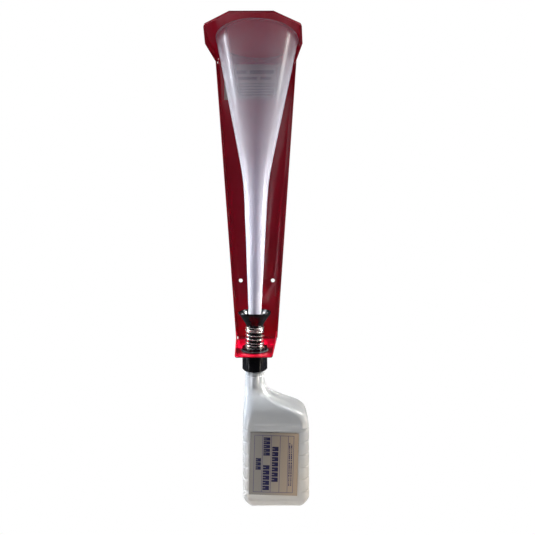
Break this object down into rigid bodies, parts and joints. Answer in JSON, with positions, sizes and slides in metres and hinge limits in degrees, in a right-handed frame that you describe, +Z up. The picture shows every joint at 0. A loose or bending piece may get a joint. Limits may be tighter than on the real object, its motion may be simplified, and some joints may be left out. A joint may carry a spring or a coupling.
{
  "type": "funnel drain station",
  "caption": "Wall-hung sheet-steel bracket that stores a long-neck funnel over a sprung cup, whose hollow stem drains it into a bottle screwed up under the shelf.",
  "frame": {"origin": "midway between the two wall screw holes, on the rear face of the bracket's back plate", "axes": "+Z up along the bracket, +Y out of the rear face into the wall, +X to the right of someone facing the wall, front is -Y"},
  "size_m": [0.163, 0.163, 0.7355],
  "materials": {
    "red_powder_coat": "gloss candy red powder coat on folded sheet steel",
    "printed_vinyl": "printed adhesive vinyl, satin",
    "frosted_polypropylene": "natural translucent polypropylene, glossy outside",
    "black_moulded_plastic": "black moulded plastic, semi-gloss",
    "bright_plated_steel": "bright zinc plated spring steel",
    "black_rubber": "black moulded rubber, satin",
    "white_nylon": "natural nylon",
    "natural_polyethylene": "natural blow-moulded polyethylene, satin"
  },
  "bodies": {
    "root": {"bracket": "red_powder_coat", "bracket_label": "printed_vinyl", "return_spring": "bright_plated_steel", "spring_bottom_washer": "bright_plated_steel", "lock_nut": "black_moulded_plastic", "shelf_gasket": "black_rubber", "hollow_stud": "black_moulded_plastic", "guide_bush": "white_nylon", "stem_seal": "black_rubber", "slip_washer": "white_nylon"},
    "plunger": {"receiver_cup": "black_moulded_plastic", "drain_stem": "black_moulded_plastic", "spring_top_washer": "bright_plated_steel", "stop_washer": "bright_plated_steel", "retaining_ring": "bright_plated_steel"},
    "funnel": {"funnel": "frosted_polypropylene"},
    "cap": {"swivel_cap": "black_moulded_plastic", "cap_liner": "black_rubber"},
    "bottle": {"bottle": "natural_polyethylene", "bottle_label": "printed_vinyl"}
  },
  "joints": [
    {"name": "cup_travel", "type": "slide", "parent": "root", "child": "plunger", "axis": [0, 0, -1], "range_m": [0, 0.0115], "stiffness_N_per_m": 3000, "springref_m": -0.004, "deforming": ["return_spring"]},
    {"name": "funnel_tilt", "type": "hinge", "parent": "plunger", "child": "funnel", "pos_m": [0, -0.0914, -0.0603], "axis": [1, 0, 0], "range_deg": [0, 14.4]},
    {"name": "cap_turn", "type": "hinge", "parent": "root", "child": "cap", "pos_m": [0, -0.082, -0.1345], "axis": [0, 0, 1], "range_deg": [0, 540]},
    {"name": "bottle_drop", "type": "slide", "parent": "root", "child": "bottle", "axis": [0, 0, -1], "range_m": [0, 0.0063]}
  ],
  "couplings": [
    {"joint": "cup_travel", "follows": "funnel_tilt", "m_per_rad": 0.04545},
    {"joint": "bottle_drop", "follows": "cap_turn", "m_per_rad": 0.00066845}
  ]
}
